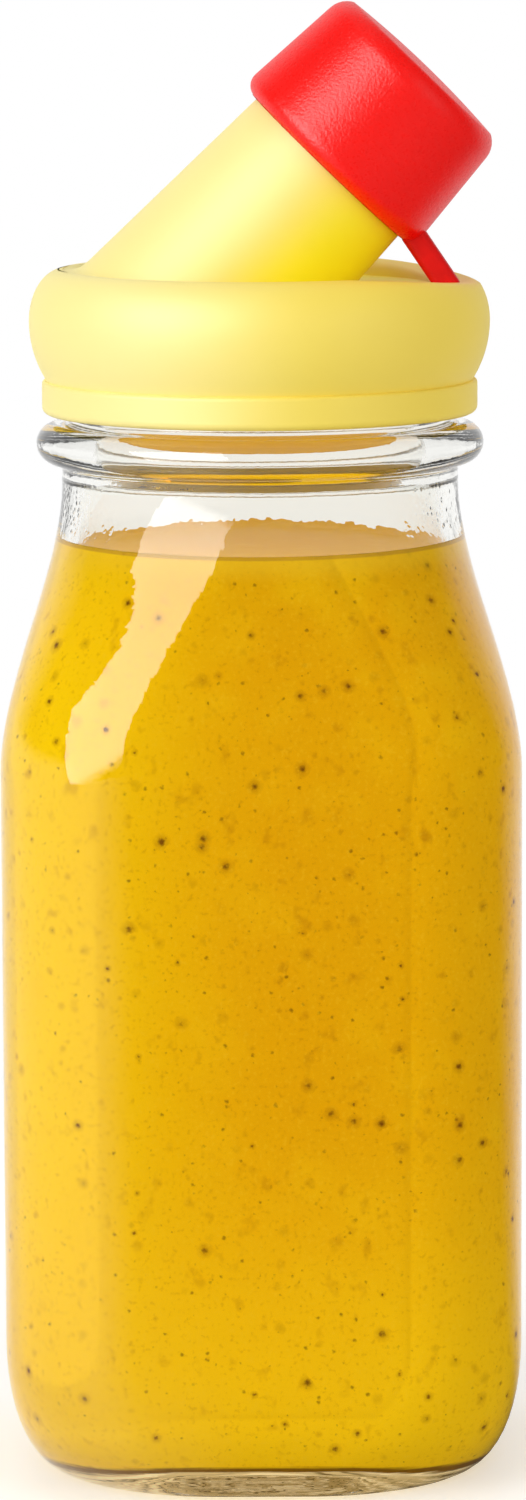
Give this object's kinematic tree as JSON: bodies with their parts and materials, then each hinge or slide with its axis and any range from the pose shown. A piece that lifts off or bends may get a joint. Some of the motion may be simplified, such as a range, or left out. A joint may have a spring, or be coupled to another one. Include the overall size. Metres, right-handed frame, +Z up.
{
  "type": "salad dressing shaker bottle",
  "caption": "Square glass dressing bottle with a round neck, a two-piece screw lid, a slanted pouring spout and a push-on cap on a tether.",
  "frame": {"origin": "middle of the base, on the surface that the bottle stands on", "axes": "+Z up along the bottle's axis, +X the way the spout leans, the flat front face towards -Y"},
  "size_m": [0.06, 0.06, 0.1711],
  "materials": {
    "glass": "clear polished",
    "dressing": "wet, opaque, speckled",
    "seal": "soft silicone",
    "lid_plastic": "fine matte",
    "cap_plastic": "fine matte",
    "tether_rubber": "soft silicone"
  },
  "bodies": {
    "bottle_body": {"bottle": "glass", "dressing": "dressing"},
    "washer_body": {"gasket": "seal"},
    "lid_body": {"collar": "lid_plastic", "lid_cover": "lid_plastic", "cap_tether": "tether_rubber"},
    "cap_body": {"cap": "cap_plastic"}
  },
  "joints": [
    {"name": "lid_lift", "type": "slide", "parent": "bottle_body", "child": "washer_body", "axis": [0, 0, 1], "range_m": [0, 0.024]},
    {"name": "lid_turn", "type": "hinge", "parent": "washer_body", "child": "lid_body", "pos_m": [0, 0, 0.13], "axis": [0, 0, 1], "range_deg": [0, 720]},
    {"name": "cap_pull", "type": "slide", "parent": "lid_body", "child": "cap_body", "axis": [0.6947, 0, 0.7193], "range_m": [0, 0.0145], "deforming": ["cap_tether"]}
  ],
  "couplings": [
    {"joint": "lid_lift", "follows": "lid_turn", "m_per_rad": 0.0019098}
  ]
}
